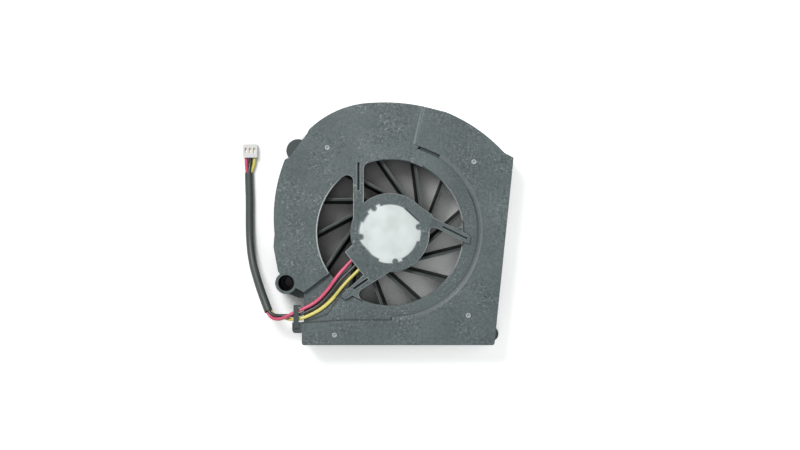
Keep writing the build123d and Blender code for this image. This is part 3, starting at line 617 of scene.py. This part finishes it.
# Plug. A white nylon housing for three contacts of tinned metal, lying on the table at the cable's end.
# The wires enter its back, and each contact shows through a window in its top.
plug_nylon, link, place = surface("plug_nylon", Subsurface_Weight=0.15, Subsurface_Scale=0.0008)
cloud = place.noise(0.0012, detail=3)
link("Base Color", cloud.blend((0.95, 0.94, 0.925), (0.99, 0.985, 0.975)))
link("Roughness", 0.32 + 0.15 * cloud)
link("Normal", relief(cloud, depth=0.00002, strength=0.3, edge=0.00008))
dress("plug_housing", plug_nylon)
tinned = grained(
    "tinned_contact", (0.52, 0.48, 0.40), (0.74, 0.70, 0.60), grain=0.0002, metallic=1.0, roughness=0.3
)
dress("plug_contacts", tinned)


# Wires. Three insulated leads, red, black and yellow, soldered to the board under the hub plate. They lie
# in the casing's recess, pass under the hook, cross and go through the sleeve to the plug.
def insulation(name, dark, light):
    """Glossy extruded insulation with a slight waviness along its length."""
    material, link, place = surface(name, Coat_Weight=0.25, Coat_Roughness=0.2)
    skin = place.noise(0.0016, detail=3)
    link("Base Color", skin.blend(dark, light))
    link("Roughness", 0.3 + 0.12 * skin)
    link("Normal", relief(place.noise(0.0007, detail=2), depth=0.00002, strength=0.25))
    return material


def lead(name, route, radius, material):
    """A cord as one smooth curve with the route's points, in millimetres, as its control points."""
    line = bpy.data.curves.new(name, "CURVE")
    line.dimensions = "3D"
    line.bevel_depth = radius
    line.bevel_resolution = 5
    line.resolution_u = 10
    line.use_fill_caps = True
    spline = line.splines.new("NURBS")
    spline.points.add(len(route) - 1)
    for point, (x, y, z) in zip(spline.points, route):
        point.co = (x / 1000, y / 1000, z / 1000, 1)
    spline.order_u = 3
    spline.use_endpoint_u = True
    line.materials.append(material)
    piece = bpy.data.objects.new(name, line)
    bpy.context.scene.collection.objects.link(piece)
    return piece


# Routes, levels, the bundle and the plug's places are in millimetres.
wire_radius = 0.0005
hub_level = 11.18
casing_level = 11.93
edge_lift = 0.12
sleeve_route = [
    (-35.5, -23.0, 9.4),
    (-37.0, -19.6, 8.0),
    (-39.1, -14.2, 5.4),
    (-40.9, -8.5, 3.0),
    (-41.7, -2.4, 1.6),
    (-41.85, 3.6, 1.25),
    (-41.8, 9.6, 1.25),
    (-42.0, 15.0, 1.25),
    (-42.05, 17.8, 1.25),
]
wire_starts = {
    "red_wire": [
        (-8.1, -5.0, hub_level),
        (-11.8, -8.7, hub_level),
        (-15.4, -12.6, casing_level + edge_lift),
        (-17.7, -16.2, casing_level),
        (-21.2, -20.0, casing_level),
        (-24.4, -21.8, casing_level),
        (-27.4, -23.0, casing_level),
        (-29.9, -24.35, 12.05),
        (-32.3, -25.4, 11.0),
        (-34.6, -25.0, 9.85),
    ],
    "black_wire": [
        (-6.95, -6.3, hub_level),
        (-10.5, -10.0, hub_level),
        (-14.4, -13.75, casing_level + edge_lift),
        (-17.1, -17.5, casing_level),
        (-20.6, -21.2, casing_level),
        (-24.0, -23.0, casing_level + edge_lift),
        (-27.3, -24.25, casing_level - 2 * edge_lift),
        (-29.5, -24.2, 10.45),
        (-31.8, -24.3, 10.3),
        (-34.0, -24.15, 10.4),
    ],
    "yellow_wire": [
        (-5.8, -7.5, hub_level),
        (-9.3, -11.1, hub_level),
        (-13.2, -14.85, casing_level + edge_lift),
        (-16.5, -19.1, casing_level),
        (-20.0, -22.2, casing_level),
        (-23.3, -24.0, casing_level),
        (-26.6, -25.3, casing_level),
        (-29.0, -25.4, 10.7),
        (-31.2, -24.9, 9.4),
        (-33.8, -24.5, 9.15),
    ],
}
wire_colours = {
    "red_wire": ((0.80, 0.08, 0.19), (0.92, 0.15, 0.27)),
    "black_wire": ((0.010, 0.010, 0.010), (0.022, 0.022, 0.022)),
    "yellow_wire": ((0.90, 0.78, 0.14), (0.97, 0.88, 0.26)),
}
bundle_radius = 0.62
bundle_angles = {"red_wire": 210.0, "black_wire": 90.0, "yellow_wire": 330.0}
plug_low, plug_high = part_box("plug_housing")
plug_middle = [1000 * (low + high) / 2 for low, high in zip(plug_low, plug_high)]
plug_back = 1000 * plug_low.y
plug_pitch = 1.25
plug_ways = {"red_wire": -1, "black_wire": 0, "yellow_wire": 1}
plug_lead = 1.9


def inside_sleeve(angle):
    """One wire's points in the sleeve, each beside the sleeve's own point."""
    turn = math.radians(angle)
    sideways, up = bundle_radius * math.cos(turn), bundle_radius * math.sin(turn)
    points = []
    for n, (x, y, z) in enumerate(sleeve_route):
        before = sleeve_route[max(n - 1, 0)]
        after = sleeve_route[min(n + 1, len(sleeve_route) - 1)]
        along = (after[0] - before[0], after[1] - before[1])
        length = math.hypot(*along)
        points.append((x + sideways * along[1] / length, y - sideways * along[0] / length, z + up))
    return points


for name, start in wire_starts.items():
    way = plug_middle[0] + plug_ways[name] * plug_pitch
    ends = [(way, plug_back - plug_lead, plug_middle[2]), (way, plug_back, plug_middle[2])]
    route = start + inside_sleeve(bundle_angles[name]) + ends
    skin = insulation(name + "_insulation", *wire_colours[name])
    wire = lead(name + "_lead", route, wire_radius, skin)
    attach(wire, "casing")
    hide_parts(name)
    [v / 1000 for v in start[0]]


# Wire sleeve. A limp dark tube drawn over the three wires from the turn beside the hook to near the plug.
# Its two ends are cut square and left open round the wires.
sleeve_tube, link, place = surface("sleeve_tube", Coat_Weight=0.15, Coat_Roughness=0.3)
skin = place.noise(0.0022, detail=4, roughness=0.6)
link("Base Color", skin.blend((0.036, 0.046, 0.043), (0.085, 0.102, 0.096)))
link("Roughness", 0.36 + 0.2 * skin)
link("Normal", relief(place.noise(0.0011, detail=3), depth=0.00006, strength=0.4))
sleeve_radius = 0.00124
sleeve = lead("sleeve_tube", sleeve_route, sleeve_radius, sleeve_tube)
sleeve.data.use_fill_caps = False
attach(sleeve, "casing")
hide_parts("wire_sleeve")


# Table, light and camera. A white table, a soft lamp high on the left, a second one low on the right as
# from a window, an even white surround, and the camera straight above the fan.
def rays_to_background(tree):
    """1 for rays that show the background to the eye or in a reflection, 0 for rays that light things."""
    ray = tree.nodes.new("ShaderNodeLightPath")
    direct, mirrored, clear = (
        Shade(tree, ray.outputs[f"Is {kind} Ray"]) for kind in ("Camera", "Glossy", "Transmission")
    )
    return direct.larger(mirrored).larger(clear)


def lamp(name, place, size, power):
    """A round soft lamp that faces the fan."""
    light = bpy.data.lights.new(name, "AREA")
    light.shape = "DISK"
    light.size = size
    light.energy = power
    holder = bpy.data.objects.new(name, light)
    holder.location = place
    holder.rotation_mode = "QUATERNION"
    holder.rotation_quaternion = (-holder.location).to_track_quat("-Z", "Y")
    bpy.context.scene.collection.objects.link(holder)


table_reach = 1.5
table_level = -0.00002
table_glow = 0.55
shadow_reach = 0.02
table_mesh = bpy.data.meshes.new("table")
corners = [(-table_reach, -table_reach), (table_reach, -table_reach)]
corners += [(table_reach, table_reach), (-table_reach, table_reach)]
table_mesh.from_pydata([(x, y, table_level) for x, y in corners], [], [(0, 1, 2, 3)])
table = bpy.data.objects.new("table", table_mesh)
bpy.context.scene.collection.objects.link(table)
table_top = bpy.data.materials.new("table_top")
table_top.use_nodes = True
tree = table_top.node_tree
top_shader = tree.nodes["Principled BSDF"]
top_shader.inputs["Base Color"].default_value = (0.94, 0.95, 0.95, 1)
top_shader.inputs["Roughness"].default_value = 0.9
top_shader.inputs["Specular IOR Level"].default_value = 0.0
top_shader.inputs["Emission Strength"].default_value = table_glow
# The table glows white for camera and reflection rays, and the glow fades near and under the fan as painted
# shade.
seen = rays_to_background(tree)
open_sky = seen.node("ShaderNodeAmbientOcclusion", {"samples": 12}, {"Distance": shadow_reach}, "AO")
glow = (seen * open_sky.between(0.2, 0.7)).blend((0, 0, 0), (1, 1, 1))
tree.links.new(glow.socket, top_shader.inputs["Emission Color"])
table_mesh.materials.append(table_top)

world = bpy.data.worlds.new("studio")
bpy.context.scene.world = world
world.use_nodes = True
tree = world.node_tree
fill_light = (0.20, 0.205, 0.205)
surround = (0.985, 1.0, 1.0)
backdrop = rays_to_background(tree).blend(fill_light, surround)
tree.links.new(backdrop.socket, tree.nodes["Background"].inputs["Color"])

lamp("key_lamp", place=(-0.15, 0.20, 0.39), size=0.17, power=1.2)
lamp("window", place=(0.42, -0.06, 0.08), size=0.20, power=1.6)

view_centre = (0.0029, 0.0022)
view_height = 0.45
view_width = 0.232
camera_data = bpy.data.cameras.new("camera")
camera_data.sensor_width = 36.0
camera_data.lens = camera_data.sensor_width * view_height / view_width
camera_data.clip_start = 0.01
camera = bpy.data.objects.new("camera", camera_data)
camera.location = (*view_centre, solid_box[1].z + view_height)
bpy.context.scene.collection.objects.link(camera)
bpy.context.scene.camera = camera
bpy.context.scene.view_settings.view_transform = "Standard"
